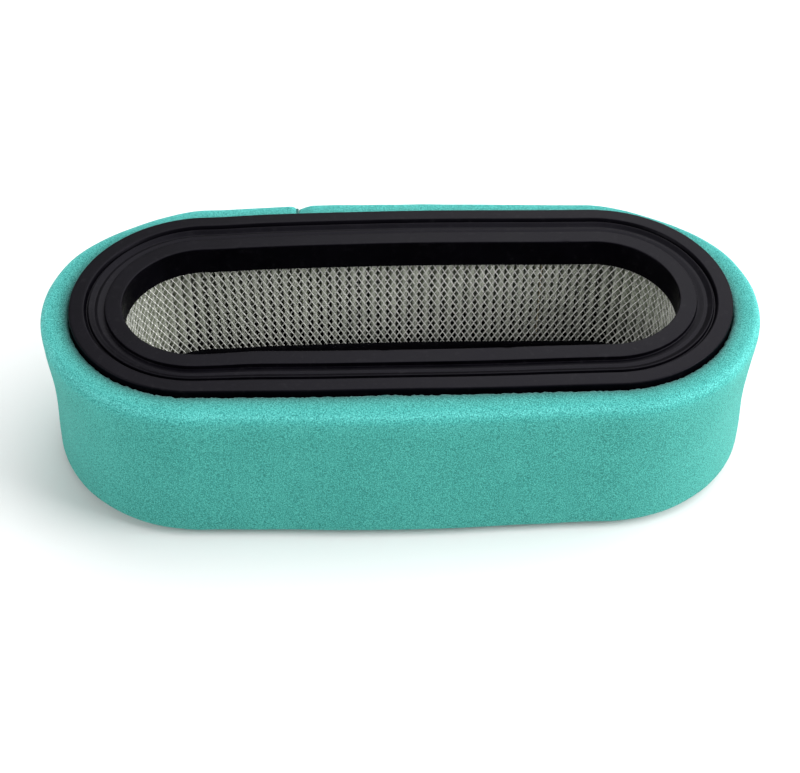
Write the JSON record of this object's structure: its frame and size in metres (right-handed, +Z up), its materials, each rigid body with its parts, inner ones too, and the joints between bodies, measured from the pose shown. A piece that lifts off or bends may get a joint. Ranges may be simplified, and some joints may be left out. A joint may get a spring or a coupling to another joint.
{
  "type": "oval air filter element",
  "caption": "Racetrack-shaped pleated paper air filter with black moulded end caps, an expanded-metal inner liner and a slide-off foam pre-cleaner sleeve.",
  "frame": {"origin": "centre of the bounding box at its bottom, on the underside of the lower end cap, on the element's upright axis", "axes": "+X along the long side of the oval, +Y across it towards the side with the foam's butt seam, +Z up along the through opening"},
  "size_m": [0.2176, 0.1, 0.0531],
  "materials": {
    "cap_rubber": "moulded satin",
    "liner_metal": "expanded sheet, dull",
    "filter_paper": "matte resin-treated paper",
    "paper_glue": "dried glue",
    "foam": "open-cell foam",
    "foam_glue": "dried glue"
  },
  "bodies": {
    "cartridge": {"upper_end_cap": "cap_rubber", "lower_end_cap": "cap_rubber", "inner_liner": "liner_metal", "pleated_media": "filter_paper", "media_seam_glue": "paper_glue"},
    "pre_cleaner": {"foam_sleeve": "foam", "foam_seam_bond": "foam_glue"}
  },
  "joints": [
    {"name": "sleeve_slide", "type": "slide", "parent": "cartridge", "child": "pre_cleaner", "axis": [0, 0, 1], "range_m": [0, 0.06]}
  ]
}
